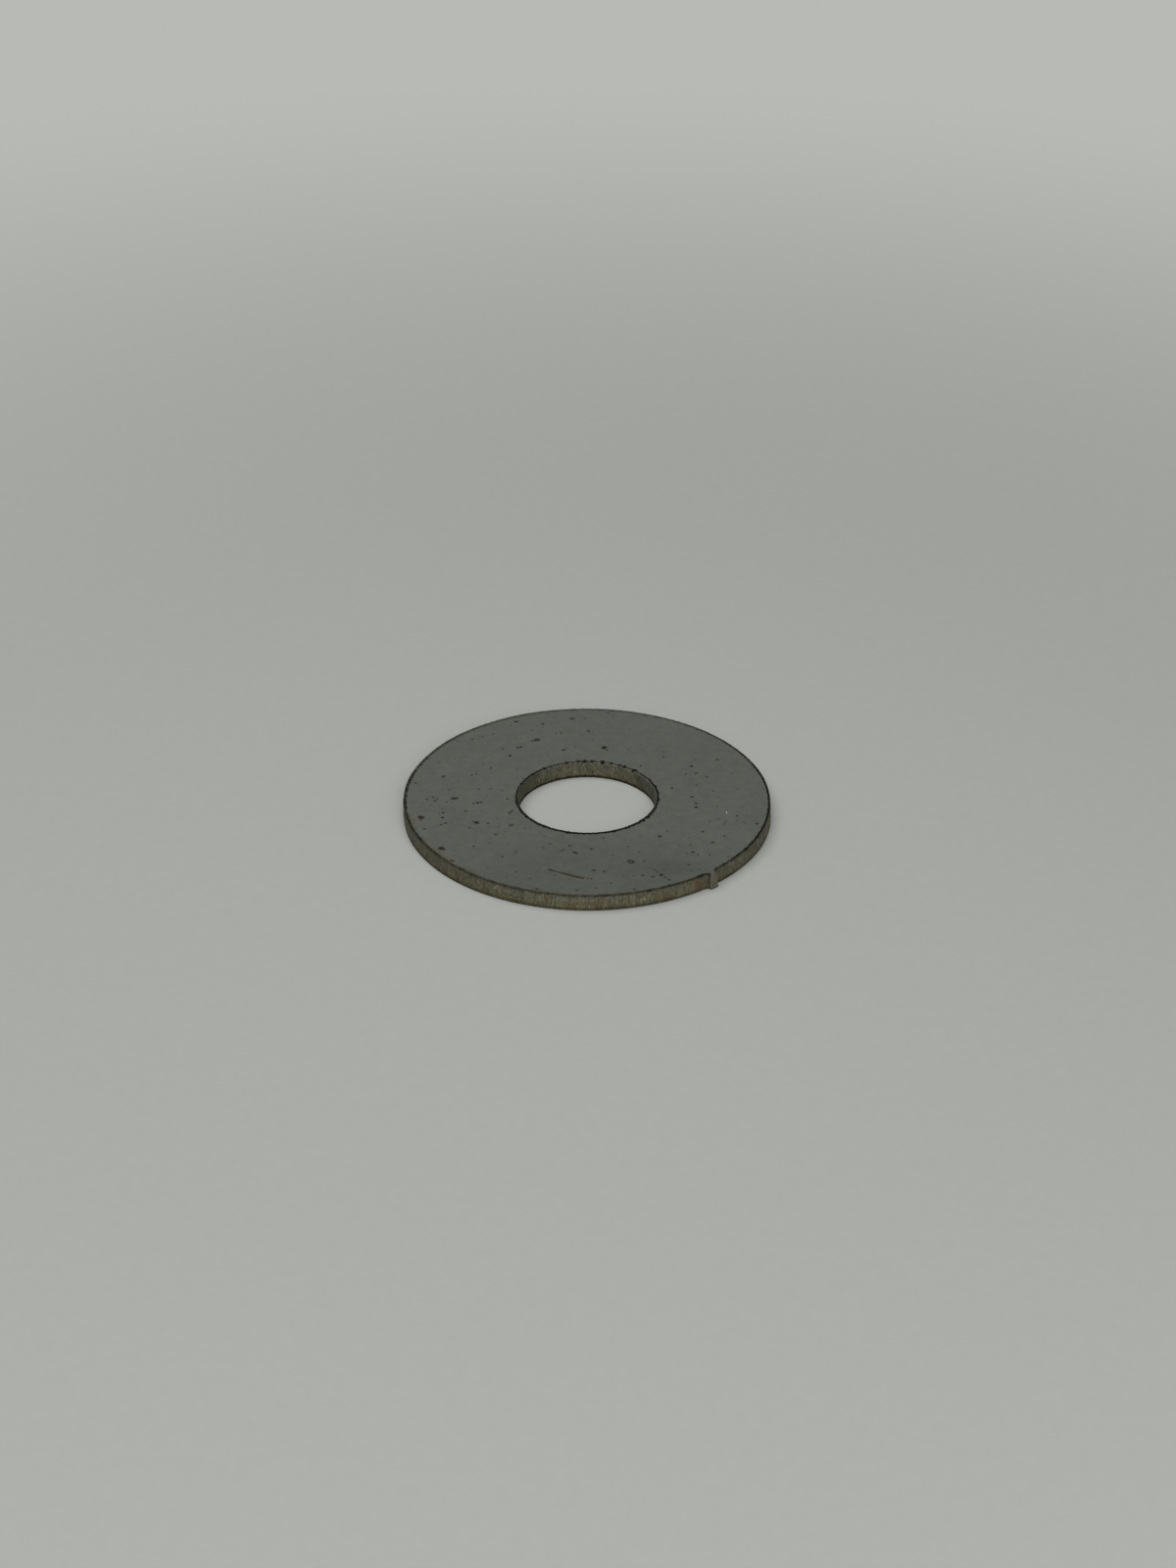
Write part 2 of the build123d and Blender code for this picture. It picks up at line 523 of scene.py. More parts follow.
def bore_belt(theta, ring, cut):
    """Rows of points from the underside, up the wall of the bore and over its lip to the upper face.

    Melted bumps stand on the lip, the noted ones and small scattered ones, each a bell curve that pushes
    the lip up and into the hole. Glaze and highlight is a clean smooth patch just below the lip on the
    right, with a painted highlight in its colour.
    """
    radius = ring.bore_radius
    random = np.random.default_rng(51)
    noted = np.array(NOTED_DROSS)
    centres = np.concatenate([np.radians(noted[:, 0]), random.uniform(-np.pi, np.pi, cut.dross_count)])
    small_widths = random.uniform(DROSS_NARROWEST, DROSS_WIDEST, cut.dross_count)
    small_shares = DROSS_SHARE * np.square(random.uniform(0.0, 1.0, cut.dross_count))
    widths = np.concatenate([noted[:, 1], small_widths]) * MM / radius
    shares = np.concatenate([noted[:, 2], small_shares])
    dross = np.minimum(bumps(theta, centres, widths, shares), DROSS_LIMIT)
    melted = cut.dross_height * dross
    lip = ring.lip_round * (1.0 + 0.14 * ripple(theta, 20, 160, seed=52))
    inset, drop, edge = section_rows(lip, ring)
    near = bell(edge - 0.02, 0.13)
    height = ring.thickness - drop + np.minimum(0.5 * melted, DROSS_LIFT) * near
    angles = np.broadcast_to(theta, inset.shape)
    drag = drag_relief(angles, ring.thickness - drop, radius, ring.thickness, cut, seed=61)
    foot = bumps_at(theta, BORE_FOOT) * MM
    lean = cut.kerf_lean * (drop / ring.thickness - 0.2) + foot * drop / ring.thickness
    proud = cut.drag_depth * drag + 0.6 * melted * near + lean
    reach = radius + inset - proud * hold_share(inset)
    points = np.stack([reach * np.cos(angles), reach * np.sin(angles), height], axis=-1)
    narrow = bumps_at(theta, BORE_NARROW)
    burnt_to = once_round(theta, 0.235, -0.075, 0.02) + 0.20 * dross - 0.10 * narrow
    burnt_from = once_round(theta, -0.10, 0.0, 0.06) - 0.10 * dross + 0.08 * narrow
    char = once_round(theta, 0.87, -0.20, -0.05) + 0.40 * dross + bumps_at(theta, BORE_BLACKER)
    # The bore's nearly black foot strip is partly dross and partly painted contact shadow.
    marks = burnt_marks(edge, burnt_to, burnt_from, char, foot_from=-1.31, foot_dross_and_shadow=0.78)
    none = np.zeros_like(edge)
    # A smooth patch just below the lip on the right, whose colour is also a painted highlight.
    glaze_and_highlight = bumps_at(theta, BORE_GLAZE_AND_HIGHLIGHT) * bell(edge + 0.13, 0.06)
    # Painted shade: the bore's wall is darker towards the washer's left and right, most at the far left, and
    # a little darker all round than the rim's.
    cosine = np.cos(theta)
    painted_shade_and_lip_band = 0.95 - 0.47 * np.square(cosine) - 0.06 * np.clip(-cosine, 0.0, None) + none
    marks |= {"drag": drag, "snap": none, "painted_nib_shade": none, "glaze_and_highlight": glaze_and_highlight, "painted_shade_and_lip_band": painted_shade_and_lip_band, "rust": none}
    return points[::-1], {name: row[::-1] for name, row in marks.items()}


def level_row(theta, radius, height):
    """One row of points on a level circle."""
    return np.stack([radius * np.cos(theta), radius * np.sin(theta), np.full_like(theta, height)], axis=-1)


def belt_faces(first, rows, count):
    """Four-sided faces between neighbouring rows of equal count, wound to face outwards."""
    row = np.arange(rows - 1)[:, None] * count
    here = np.arange(count)[None, :]
    after = (here + 1) % count
    corners = np.stack([row + here, row + count + here, row + count + after, row + after], axis=-1)
    return (first + corners).reshape(-1, 4)


def halving_faces(fine, coarse, count, fine_first):
    """Five-sided faces between a row of count points and one of half as many, wound to face outwards."""
    here = np.arange(count // 2)
    after = (here + 1) % (count // 2)
    a = fine + 2 * here
    b = fine + 2 * here + 1
    c = fine + (2 * here + 2) % count
    d = coarse + after
    e = coarse + here
    faces = np.stack([a, e, d, c, b], axis=-1)
    return faces if fine_first else faces[:, ::-1]


def new_mesh(name, points, faces):
    """A smooth-shaded mesh from points and from lists of faces that each hold one count of corners."""
    mesh = bpy.data.meshes.new(name)
    lists = [face for group in faces for face in np.asarray(group).tolist()]
    mesh.from_pydata(points.tolist(), [], lists)
    mesh.polygons.foreach_set("use_smooth", np.ones(len(mesh.polygons), dtype=bool))
    mesh.update()
    return mesh


def store(mesh, name, values):
    """Keeps one number for each point of the mesh, under a name that the materials read."""
    layer = mesh.attributes.new(name, "FLOAT", "POINT")
    layer.data.foreach_set("value", np.ascontiguousarray(values, dtype=np.float32).ravel())


def ring_mesh(ring, nib, cut):
    """The closed ring: the rim's belt, the underside, the bore's belt and the upper face.

    Between the belts lie level rows with half and then a quarter of the rim's points, which five-sided
    faces join to the finer rows.
    """
    steps = ring.steps
    theta = columns(steps, nib.bearing, ring.outer_radius)
    half = theta[::2]
    quarter = theta[::4]
    rim, rim_marks = rim_belt(theta, ring, nib, cut)
    bore, bore_marks = bore_belt(half, ring, cut)
    outer_near = ring.outer_radius - RIM_ROW
    outer_far = ring.outer_radius - OUTER_ROW
    inner_far = ring.bore_radius + INNER_ROW
    circles = ((half, outer_near), (quarter, outer_far), (quarter, inner_far))
    under = [level_row(angles, radius, 0.0) for angles, radius in circles]
    upper = [level_row(angles, radius, ring.thickness) for angles, radius in reversed(circles)]
    blocks = [rim.reshape(-1, 3), *under, bore.reshape(-1, 3), *upper]
    starts = np.concatenate([[0], np.cumsum([len(block) for block in blocks])])
    points = np.concatenate(blocks)
    count = len(half)
    rim_last = (len(rim) - 1) * steps
    bore_last = starts[4] + (len(bore) - 1) * count
    fours = [
        belt_faces(starts[0], len(rim), steps),
        belt_faces(starts[2], 2, len(quarter)),
        belt_faces(starts[4], len(bore), count),
        belt_faces(starts[5], 2, len(quarter)),
    ]
    fives = [
        halving_faces(rim_last, starts[1], steps, True),
        halving_faces(starts[1], starts[2], count, True),
        halving_faces(starts[4], starts[3], count, False),
        halving_faces(bore_last, starts[5], count, True),
        halving_faces(starts[7], starts[6], count, False),
        halving_faces(starts[0], starts[7], steps, False),
    ]
    mesh = new_mesh("washer_steel", points, fours + fives)
    level = {"edge": (-2.0, 1.0), "burn_and_shade": (-1.0, -1.0)}
    for name in rim_marks:
        below, above = level.get(name, (0.0, 0.0))
        under_values = np.full(starts[4] - starts[1], below)
        upper_values = np.full(starts[8] - starts[5], above)
        parts = [rim_marks[name].ravel(), under_values, bore_marks[name].ravel(), upper_values]
        store(mesh, name, np.concatenate(parts))
    return mesh


# Marks on the faces


# Spatter and stains that stand out: x, y and radius in millimetres, then how brown, how pale in the
# middle and how strong, from 0 to 1. The last row is a painted shadow beside the sliver's melted end.
NOTED_MARKS = (
    (-14.15, -3.7, 0.27, 0.7, 0.0, 1.00),
    (-14, -3.8, 0.12, 0.8, 0.0, 0.85),
    (-14.2, -4.1, 0.12, 0.9, 0.0, 0.85),
    (-12.15, -8.75, 0.27, 0.6, 0.0, 0.95),
    (-11.5, -0.5, 0.22, 0.8, 0.0, 1.00),
    (-11.2, -0.4, 0.12, 0.7, 0.0, 0.85),
    (-6.4, -4.9, 0.20, 0.3, 0.75, 0.90),
    (-6.6, -2.8, 0.15, 0.6, 0.4, 0.85),
    (-6.4, -2.5, 0.11, 0.5, 0.0, 0.85),
    (-4.5, 9.9, 0.26, 0.8, 0.2, 1.00),
    (-4.9, 9.7, 0.13, 0.9, 0.0, 0.85),
    (-9.4, -4.5, 0.20, 0.2, 0.0, 1.00),
    (-9.2, -4.6, 0.10, 0.3, 0.0, 0.85),
    (-9.7, -4.3, 0.08, 0.2, 0.0, 0.85),
    (-8.4, -4.6, 0.13, 0.6, 0.0, 0.85),
    (-12.3, -3.7, 0.14, 0.0, 0.0, 0.85),
    (-12.3, -2.9, 0.13, 0.1, 0.0, 0.85),
    (-12.4, -2.3, 0.10, 0.2, 0.0, 0.60),
    (-12, -4.6, 0.12, 0.1, 0.0, 0.85),
    (-12.4, -4.9, 0.10, 0.2, 0.0, 0.85),
    (-13.8, -5.6, 0.12, 0.2, 0.0, 0.85),
    (1.52, 8.55, 0.24, 0.4, 0.0, 1.00),
    (1.8, 8.1, 0.10, 0.1, 0.0, 0.85),
    (3.70, -10.7, 0.28, 0.3, 0.75, 1.00),
    (6.2, -6.6, 0.17, 0.8, 0.0, 0.85),
    (-9.4, -1.2, 0.15, 0.3, 0.0, 0.85),
    (-9.1, -1.1, 0.11, 0.2, 0.0, 0.85),
    (-10.4, -2.6, 0.10, 0.2, 0.0, 0.85),
    (-5.9, 8.6, 0.14, 0.3, 0.0, 0.85),
    (-6.2, 8.5, 0.12, 0.4, 0.0, 0.85),
    (-6.8, 7, 0.15, 0.5, 0.0, 0.85),
    (-6.4, 13.25, 0.17, 0.4, 0.0, 0.80),
    (-4, 12.85, 0.14, 0.2, 0.0, 0.75),
    (-1.35, 13.85, 0.20, 0.2, 0.3, 0.70),
    (0.12, 11.55, 0.16, 0.2, 0.0, 0.70),
    (-2.1, 8.1, 0.14, 0.1, 0.0, 0.85),
    (-1, -9.3, 0.16, 0.3, 0.0, 0.90),
    (-0.8, -9.4, 0.13, 0.2, 0.5, 0.85),
    (0.4, -8.7, 0.16, 0.3, 0.0, 0.60),
    (8.9, -9.15, 0.18, 0.2, 0.0, 0.60),
    (8.52, -11.15, 0.15, 0.1, 0.0, 0.50),
    (10.6, -7.6, 0.18, 0.1, 0.0, 0.60),
    (9.4, -1.75, 0.14, 0.0, 0.0, 0.90),
    (9.85, -5.8, 0.14, 0.2, 0.0, 0.60),
    (9.1, 0, 0.13, 0.0, 0.0, 0.85),
    (7.4, 1.5, 0.13, 0.2, 0.0, 0.85),
    (9.2, 5.3, 0.15, 0.3, 0.0, 0.85),
    (11.5, 6.5, 0.15, 0.8, 0.0, 0.85),
    (11.75, -4.3, 0.12, 0.1, 0.0, 0.55),
    (14.5, -4.45, 0.15, 0.3, 0.0, 0.75),
    (5.85, -12.25, 0.12, 0.3, 0.0, 0.45),
    (5.5, -13.05, 0.16, 0.2, 0.0, 0.65),
    (6.2, -12.75, 0.20, 0.3, 0.0, 0.70),
    (4.65, -12.85, 0.15, 0.2, 0.0, 0.60),
    (0.6, -12.1, 0.14, 0.2, 0.0, 0.85),
    (1.5, -12.5, 0.11, 0.2, 0.0, 0.35),
    (-0.8, -15.2, 0.17, 0.3, 0.0, 0.50),
    (-12.05, 9.85, 0.16, 0.3, 0.0, 0.70),
    (-11.1, -10.75, 0.12, 0.3, 0.0, 0.85),
    (-5.95, -9.3, 0.12, 0.2, 0.0, 0.50),
    (-8.2, -11.8, 0.11, 0.2, 0.0, 0.45),
    (-14.95, 2.14, 0.12, 0.8, 0.0, 0.85),
    (9.4, -1.1, 0.12, 0.0, 0.0, 0.85),
    (11.2, -3.75, 0.11, 0.1, 0.0, 0.50),
    (11.8, -4, 0.10, 0.1, 0.0, 0.50),
    (11.7, -4.7, 0.09, 0.2, 0.0, 0.50),
    (10.5, -4.1, 0.09, 0.1, 0.0, 0.85),
    (-4.05, -15.02, 0.11, 0.2, 0.0, 0.85),
    (3.95, -15.04, 0.11, 0.2, 0.0, 0.85),
    (-11.28, -10.6, 0.10, 0.2, 0.0, 0.85),
    (-7.65, -6.45, 0.21, 0.4, 0.0, 0.50),
    (-12.55, 3.3, 0.17, 0.4, 0.0, 0.65),
    (-13.3, -0.3, 0.14, 0.4, 0.0, 0.60),
    (-13.8, -0.7, 0.15, 0.4, 0.0, 0.65),
    (-8.45, 4.8, 0.15, 0.4, 0.0, 0.60),
    (-0.2, 14, 0.13, 0.4, 0.0, 0.45),
    (-9.4, 10.5, 0.14, 0.4, 0.0, 0.45),
    (-11.6, 9.6, 0.13, 0.4, 0.0, 0.45),
    (9.6, 4.1, 0.14, 0.4, 0.0, 0.65),
    (10.5, 3.5, 0.15, 0.4, 0.0, 0.55),
    (-1.4, -8.2, 0.14, 0.4, 0.0, 0.70),
    (-3.6, -6.7, 0.12, 0.4, 0.0, 0.45),
    (-4.7, -13.4, 0.15, 0.4, 0.0, 0.45),
    (11.9, -9.8, 0.14, 0.4, 0.0, 0.45),
    (11.3, 0, 0.12, 0.4, 0.0, 0.45),
    (-12.9, -0.5, 0.12, 0.4, 0.0, 0.60),
    # Painted shadow: a faint dark mark beside the sliver's melted end.
    (0.42, -13.4, 0.12, 0.2, 0.0, 0.60),
)
# How much wider than its dark middle a noted mark is, with its soft edge.
SOFT_EDGE = 1.38
# Clean bright beads that catch the light: x, y and radius in millimetres.
BRIGHT_BEADS = ((12.0, -2.6, 0.06), (10.2, 1.9, 0.03), (-3.4, 9.6, 0.03))
# Places where the scattered specks crowd, as x, y and spread in millimetres.
CROWDS = (
    (-11.9, -2.6, 1.6),
    (-13.0, -0.5, 1.0),
    (-6.5, 7.5, 2.2),
    (-4.0, 11.0, 2.4),
    (11.8, -4.0, 1.2),
    (9.0, 3.0, 2.4),
    (8.5, -10.0, 1.8),
    (-9.0, -1.5, 1.5),
    (0.5, -10.5, 2.2),
)
# Shares of the scattered specks that crowd and that are brown, the power that makes small specks common,
# and how far from the ring's edges they stay.
CROWD_SHARE = 0.35
BROWN_SHARE = 0.25
SMALL_POWER = 2.8
CLEAR_STRIP = 0.35 * MM
# Height of a dome as a share of its radius, and the height that the tallest ones reach.
DOME_SHARE = 0.28
DOME_HEIGHT = 0.036 * MM
# The sliver's thin end and its melted end, as x and y. Then half its width and its height, and what its
# drop adds to both.
SLIVER_START = (-3.25 * MM, -11.87 * MM)
SLIVER_END = (0.16 * MM, -13.35 * MM)
SLIVER_HALF = 0.19 * MM
SLIVER_HEIGHT = 0.026 * MM
DROP_HALF = 0.11 * MM
DROP_HEIGHT = 0.014 * MM


def scatter(count, random, marks, ring, crowd_share):
    """Places and radii of random specks, more of them small than large, kept off the edges."""
    inner = ring.bore_radius + CLEAR_STRIP
    outer = ring.outer_radius - CLEAR_STRIP
    reach = np.sqrt(random.uniform(inner**2, outer**2, count))
    turn = random.uniform(-np.pi, np.pi, count)
    place = np.stack([reach * np.cos(turn), reach * np.sin(turn)], axis=-1)
    crowds = np.array(CROWDS) * MM
    chosen = crowds[random.integers(0, len(crowds), count)]
    gathered = chosen[:, :2] + random.normal(0.0, 1.0, (count, 2)) * chosen[:, 2:]
    far = np.hypot(*gathered.T)
    use = (random.uniform(0.0, 1.0, count) < crowd_share) & (far > inner) & (far < outer)
    place[use] = gathered[use]
    share = np.power(random.uniform(0.0, 1.0, count), SMALL_POWER)
    return place, marks.smallest + (marks.largest - marks.smallest) * share


def mark_shapes(place, radius, height, pale, face_height, upwards, random):
    """Flattened domes on a level face, each closed by a floor just inside the steel.

    A point of a dome lies at the share s of the radius along its bearing b, where the radius changes
    with cos(2b) and cos(3b). Its height is that of the dome times (1 - s squared), less a small sink,
    so that the edge dips into the face. A pale middle is a dimple.
    """
    sectors = 9
    shares = np.array([0.42, 0.78, 1.0])
    bearing = np.arange(sectors) * 2.0 * np.pi / sectors
    count = len(place)
    phase = random.uniform(0.0, 2.0 * np.pi, (count, 2, 1))
    oval = random.uniform(0.0, 0.18, (count, 1))
    lobe = random.uniform(0.0, 0.12, (count, 1))
    wave = 1.0 + oval * np.cos(2.0 * bearing + phase[:, 0]) + lobe * np.cos(3.0 * bearing + phase[:, 1])
    reach = radius[:, None, None] * wave[:, None, :] * shares[None, :, None]
    sink = 0.12 * height
    rise = height[:, None] * (1.0 - np.square(shares)) - sink[:, None]
    x = place[:, 0, None, None] + reach * np.cos(bearing)
    y = place[:, 1, None, None] + reach * np.sin(bearing)
    z = np.broadcast_to(rise[:, :, None], reach.shape)
    rings = np.stack([x, y, z], axis=-1).reshape(count, -1, 3)
    middle = height * (1.0 - 0.7 * pale) - sink
    top = np.concatenate([place, middle[:, None]], axis=1)[:, None, :]
    points = np.concatenate([top, rings], axis=1)
    points[:, :, 2] = face_height + points[:, :, 2] * (1.0 if upwards else -1.0)
    here = np.arange(sectors)
    after = (here + 1) % sectors
    tip = np.stack([np.zeros(sectors, int), 1 + here, 1 + after], axis=-1)
    sides = belt_faces(1, len(shares), sectors)
    base = (1 + 2 * sectors + here[::-1])[None, :]
    order = slice(None) if upwards else slice(None, None, -1)
    offsets = (np.arange(count) * points.shape[1])[:, None, None]
    groups = [(group[None, :, order] + offsets).reshape(-1, group.shape[1]) for group in (tip, sides, base)]
    amount = np.concatenate([[1.0], np.repeat([1.0, 0.55, 0.0], sectors)])
    middle_only = np.concatenate([[1.0], np.repeat([0.25, 0.0, 0.0], sectors)])
    return points.reshape(-1, 3), amount, middle_only, groups


def marks_mesh(ring, marks):
    """All spatter and stains of both faces, and one painted shadow, as one mesh of small closed domes."""
    random = np.random.default_rng(marks.seed)
    noted = np.array(NOTED_MARKS)
    place, radius = scatter(marks.count, random, marks, ring, CROWD_SHARE)
    stained = random.uniform(0.0, 1.0, marks.count) < BROWN_SHARE
    brown = np.where(stained, random.uniform(0.4, 1.0, marks.count), 0.15)
    strength = random.uniform(0.35, 0.85, marks.count)
    place = np.concatenate([noted[:, :2] * MM, place])
    radius = np.concatenate([SOFT_EDGE * noted[:, 2] * MM, radius])
    brown = np.concatenate([noted[:, 3], brown])
    pale = np.concatenate([noted[:, 4], np.zeros(marks.count)])
    strength = np.concatenate([noted[:, 5], strength])
    height = np.minimum(DOME_SHARE * radius, DOME_HEIGHT) * (1.0 - 0.7 * brown) * strength
    upper = mark_shapes(place, radius, height, pale, ring.thickness, True, random)
    under_place, under_radius = scatter(marks.under_count, random, marks, ring, 0.0)
    under_brown = random.uniform(0.0, 0.6, marks.under_count)
    none = np.zeros(marks.under_count)
    under = mark_shapes(under_place, under_radius, 0.02 * under_radius, none, 0.0, False, random)
    faces = [*upper[3], *(group + len(upper[0]) for group in under[3])]
    mesh = new_mesh("face_marks", np.concatenate([upper[0], under[0]]), faces)
    strength = np.concatenate([strength, none + 0.6])
    store(mesh, "amount", np.outer(strength, upper[1]))
    store(mesh, "pale", np.outer(np.concatenate([pale, none]), upper[2]))
    store(mesh, "brown", np.repeat(np.concatenate([brown, under_brown]), len(upper[1])))
    return mesh


def beads_mesh(ring):
    """Small bright beads, each a half-sunk ball of rings from pole to pole."""
    beads = np.array(BRIGHT_BEADS) * MM
    sectors = 16
    turn = np.linspace(0.0, 2.0 * np.pi, sectors, endpoint=False)
    tilt = np.linspace(0.0, np.pi, 9)[1:-1, None]
    level = np.cos(tilt) + 0.0 * turn
    body = np.stack([np.sin(tilt) * np.cos(turn), np.sin(tilt) * np.sin(turn), level], axis=-1)
    body = body.reshape(-1, 3)
    ball = np.concatenate([[(0.0, 0.0, 1.0)], body, [(0.0, 0.0, -1.0)]])
    squash = np.array([1.0, 1.0, 0.5])
    centres = np.concatenate([beads[:, :2], np.full((len(beads), 1), ring.thickness)], axis=1)
    points = centres[:, None, :] + ball[None, :, :] * squash * beads[:, 2, None, None]
    here = np.arange(sectors)
    after = (here + 1) % sectors
    last = len(ball) - 1
    top = np.stack([0 * here, 1 + here, 1 + after], axis=-1)
    bottom = np.stack([0 * here + last, last - sectors + after, last - sectors + here], axis=-1)
    caps = np.concatenate([top, bottom])
    sides = belt_faces(1, len(tilt), sectors)
    offsets = (np.arange(len(beads)) * len(ball))[:, None, None]
    groups = [(group[None] + offsets).reshape(-1, group.shape[1]) for group in (caps, sides)]
    return new_mesh("bright_beads", points.reshape(-1, 3), groups)


def sliver_mesh(ring):
    """A stray sliver of metal that lies on the upper face and ends in a melted nodule.

    Its centre line bends slowly. Its half width and height grow from nothing at the thin end, over a
    small knob, stay even along the thicker half and swell into a drop at the other end. Drop says how
    pale a point is: the drop itself, and less so the far side of the thicker half.
    """
    start = np.array(SLIVER_START)
    end = np.array(SLIVER_END)
    share = np.linspace(0.0, 1.0, 61)
    along = (end - start) / np.linalg.norm(end - start)
    side = np.array([-along[1], along[0]])
    bow = -0.12 * MM * np.sin(np.pi * share) - 0.03 * MM * np.sin(3.0 * np.pi * share)
    line = start + share[:, None] * (end - start) + bow[:, None] * side
    drop = np.exp(-0.5 * np.square((share - 0.955) / 0.030))
    knob = 0.30 * np.exp(-0.5 * np.square((share - 0.09) / 0.05))
    body = smooth(share, 0.0, 0.06) * (0.35 + knob + 0.65 * smooth(share, 0.25, 0.50))
    closing = np.sqrt(np.clip(1.0 - np.power(np.abs(2.0 * share - 1.0), 60.0), 0.0, None))
    width = (SLIVER_HALF * body + DROP_HALF * drop) * closing
    height = (SLIVER_HEIGHT * body + DROP_HEIGHT * drop) * closing
    turn = np.linspace(0.0, 2.0 * np.pi, 12, endpoint=False)
    offset = width[:, None] * np.cos(turn)
    x = line[:, 0, None] + offset * side[0]
    y = line[:, 1, None] + offset * side[1]
    z = ring.thickness + height[:, None] * np.sin(turn) * np.where(np.sin(turn) > 0.0, 1.0, 0.3)
    grid = np.stack([x, y, z], axis=-1)
    points = grid[1:-1].reshape(-1, 3)
    sides = belt_faces(0, len(grid) - 2, len(turn))[:, ::-1]
    here = np.arange(len(turn))
    ends = [here[None, ::-1], len(points) - len(turn) + here[None, :]]
    mesh = new_mesh("sliver", points, [sides, *ends])
    tan = 0.85 * np.outer(smooth(share, 0.30, 0.50), smooth(np.cos(turn), -0.6, 0.7))
    store(mesh, "drop", np.maximum(1.15 * drop[:, None], tan)[1:-1])
    return mesh


# Materials


# Short names for the two kinds of socket that the node groups have.
COLOUR = "NodeSocketColor"
VALUE = "NodeSocketFloat"
# How metallic the rolled face and the cut walls are under their oxide, and how bright both mirror.
FACE_METAL = 0.30
WALL_METAL = 0.45
STEEL_SPECULAR = 0.35
# How deep the fine relief of the steel and of the bright beads reads.
STEEL_RELIEF = 0.012 * MM
BEAD_RELIEF = 0.004 * MM
# The dark smudge beside the nib, and the painted shade along the front of the upper face, as ovals that are
# tall enough to pass through the ring.
SMUDGE_MIDDLE = (6.8 * MM, -11.6 * MM)
SMUDGE_REACH = (3.4 * MM, 1.4 * MM)
FRONT_SHADE_MIDDLE = (1.0 * MM, -13.5 * MM)
FRONT_SHADE_REACH = (12.0 * MM, 5.5 * MM)
OVAL_HEIGHT = 10.0 * MM
# The way to the left of the rim, where it is tinted most, and how far out that way the tint comes in.
TINT_SIDE = (-0.87, -0.50, 0.0)
TINT_FROM = 13.8 * MM
TINT_TO = 15.2 * MM


def group_socket(tree, name, direction, kind, default=None):
    """Adds one named socket to a node group."""
    socket = tree.interface.new_socket(name=name, in_out=direction, socket_type=kind)
    if default is not None:
        socket.default_value = default
    return socket


class Nodes:
    """Short calls that add nodes to one tree and link them."""

    def __init__(self, tree):
        self.tree = tree

    def add(self, kind, **values):
        """Adds a node and sets its own properties."""
        node = self.tree.nodes.new(kind)
        for key, value in values.items():
            setattr(node, key, value)
        return node

    def put(self, socket, value):
        """Links an output to a socket, or writes a plain value into it."""
        if isinstance(value, bpy.types.NodeSocket):
            self.tree.links.new(value, socket)
        else:
            socket.default_value = value

    def fill(self, node, **values):
        """Puts values into a node's inputs by their names, with an underscore for each space."""
        for label, value in values.items():
            self.put(node.inputs[label.replace("_", " ")], value)
        return node

    def math(self, operation, first, second=0.0, clamp=False):
        """The result of one sum."""
        node = self.add("ShaderNodeMath", operation=operation, use_clamp=clamp)
        self.put(node.inputs[0], first)
        self.put(node.inputs[1], second)
        return node.outputs[0]

    def spread(self, value, low, high, new_low=0.0, new_high=1.0, kind="SMOOTHSTEP"):
        """A value carried from one range to another, held at its ends."""
        node = self.add("ShaderNodeMapRange", interpolation_type=kind)
        for index, item in enumerate((value, low, high, new_low, new_high)):
            self.put(node.inputs[index], item)
        return node.outputs[0]

    def cloud(self, value, new_low, new_high):
        """A cloud's usual range carried evenly to another."""
        return self.spread(value, 0.3, 0.7, new_low, new_high, "LINEAR")

    def times(self, first, second):
        """The product of two values."""
        return self.math("MULTIPLY", first, second)

    def scaled(self, colour, level):
        """A colour times a level."""
        node = self.fill(self.add("ShaderNodeVectorMath", operation="SCALE"), Scale=level)
        self.put(node.inputs[0], colour)
        return node.outputs[0]

    def far(self, vector):
        """How long a vector is."""
        node = self.add("ShaderNodeVectorMath", operation="LENGTH")
        self.put(node.inputs[0], vector)
        return node.outputs["Value"]

    def oval(self, place, middle, reach):
        """How far a place is from the middle of an oval, as a share of the oval's reach that way."""
        node = self.add("ShaderNodeMapping", vector_type="TEXTURE")
        self.fill(node, Vector=place, Location=(*middle, 0.0), Scale=(*reach, OVAL_HEIGHT))
        return self.far(node.outputs[0])

    def mix(self, share, first, second):
        """Two colours mixed by a share."""
        node = self.add("ShaderNodeMix", data_type="RGBA")
        self.put(node.inputs[0], share)
        self.put(node.inputs[6], first)
        self.put(node.inputs[7], second)
        return node.outputs[2]

    def noise(self, vector, scale, detail=2.0, roughness=0.5):
        """A cloudy value about one half."""
        node = self.add("ShaderNodeTexNoise")
        self.fill(node, Vector=vector, Scale=scale, Detail=detail, Roughness=roughness)
        return node.outputs[0]

    def place(self):
        """The point's place on the washer, in metres."""
        return self.add("ShaderNodeTexCoord").outputs["Object"]

    def seen(self):
        """1 for a ray from the camera, mirrored or let through, else 0."""
        rays = self.add("ShaderNodeLightPath").outputs
        direct = self.math("MAXIMUM", rays["Is Camera Ray"], rays["Is Glossy Ray"])
        return self.math("MAXIMUM", direct, rays["Is Transmission Ray"])

    def stored(self, name):
        """A number kept at the mesh's points."""
        return self.add("ShaderNodeAttribute", attribute_name=name).outputs["Fac"]


def rgba(colour):
    """A colour with full alpha."""
    return (*colour, 1.0)


def grey(level):
    """A plain grey, and a value that is mixed as a colour."""
    return rgba((level,) * 3)


def group_tree(name, inputs, outputs):
    """A new node group with its sockets: its nodes, what it is given and the node that it fills."""
    n = Nodes(bpy.data.node_groups.new(name, "ShaderNodeTree"))
    for label, kind, default in inputs:
        group_socket(n.tree, label, "INPUT", kind, default)
    for label, kind in outputs:
        group_socket(n.tree, label, "OUTPUT", kind)
    return n, n.add("NodeGroupInput").outputs, n.add("NodeGroupOutput")


